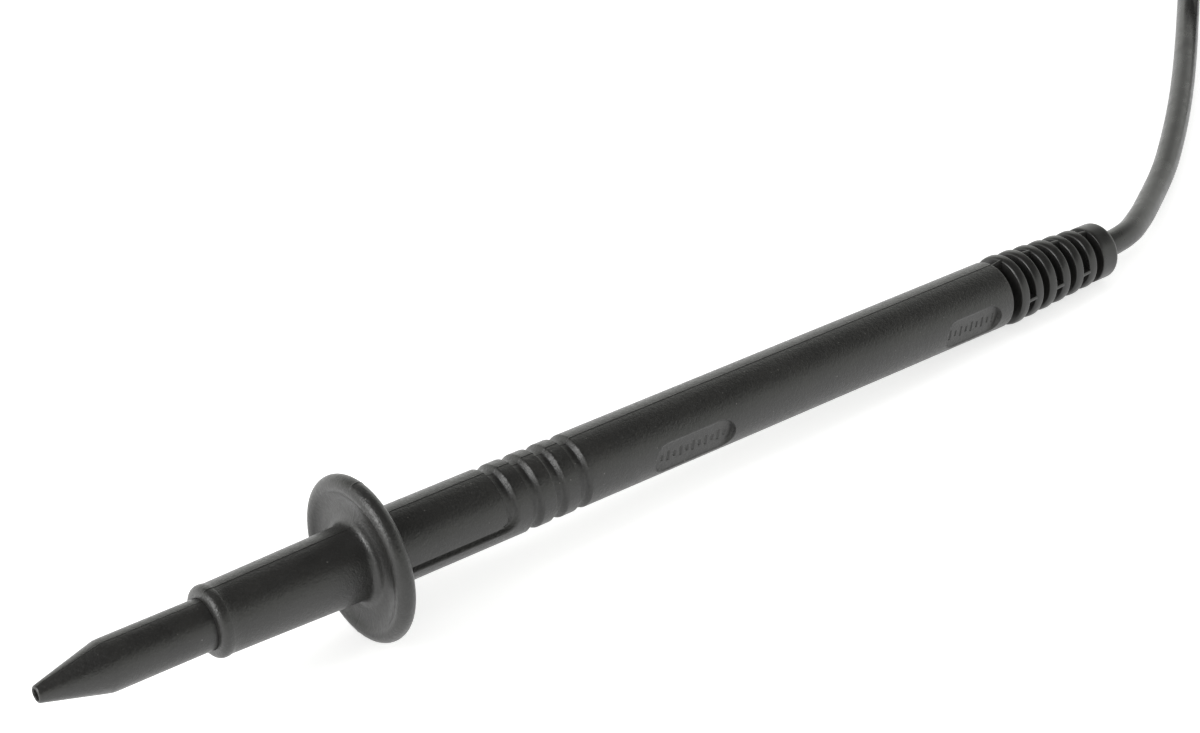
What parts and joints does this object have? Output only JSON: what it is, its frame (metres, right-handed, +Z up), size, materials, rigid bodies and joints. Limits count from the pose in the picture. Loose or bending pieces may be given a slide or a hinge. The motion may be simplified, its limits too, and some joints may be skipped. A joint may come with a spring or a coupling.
{
  "type": "shrouded test probe",
  "caption": "Slim black test probe with a finger guard, a spring-loaded sleeve over its needle, a ribbed boot and a lead that ends in a shrouded plug.",
  "frame": {"origin": "on the surface the probe lies on, under the middle of the probe's length; the lead, its coil and the plug are left out", "axes": "+X along the probe from the needle tip towards the lead, +Z up, +Y to the probe's left, which is the side the lead curves to"},
  "size_m": [0.3446, 0.0942, 0.0226],
  "materials": {
    "handle_black": "matt, fine spark-eroded grain",
    "sleeve_black": "matt, fine spark-eroded grain",
    "boot_black": "satin moulded elastomer",
    "lead_black": "smooth satin silicone",
    "needle_steel": "ground and polished",
    "insulation_white": "smooth fluoropolymer",
    "spring_steel": "bright drawn wire",
    "inner_black": "plain moulding",
    "copper": "bare stranded copper",
    "brass": "turned",
    "pin_nickel": "nickel plated",
    "tie_black": "hook-and-loop strap"
  },
  "bodies": {
    "probe": {"barrel": "handle_black", "needle": "needle_steel", "needle_insulation": "insulation_white", "return_spring": "spring_steel", "spring_washer": "spring_steel", "needle_holder": "inner_black", "crimp_ferrule": "brass", "ferrule_insulation": "inner_black", "conductor": "copper", "lead_inside": "lead_black", "cord_clamp": "inner_black", "boot": "boot_black", "lead_free": "lead_black", "lead_coil": "lead_black", "lead_tail": "lead_black", "cord_tie": "tie_black", "plug_pin": "pin_nickel", "plug_core": "inner_black", "plug_shroud": "handle_black", "plug_grip": "boot_black", "plug_boot": "boot_black", "plug_lead_end": "lead_black", "plug_conductor": "copper"},
    "sleeve": {"guard_sleeve": "sleeve_black"}
  },
  "joints": [
    {"name": "sleeve_retract", "type": "slide", "parent": "probe", "child": "sleeve", "axis": [0.9987, 0, -0.051], "range_m": [0, 0.012], "stiffness_N_per_m": 60, "springref_m": -0.008, "deforming": ["return_spring"]}
  ]
}
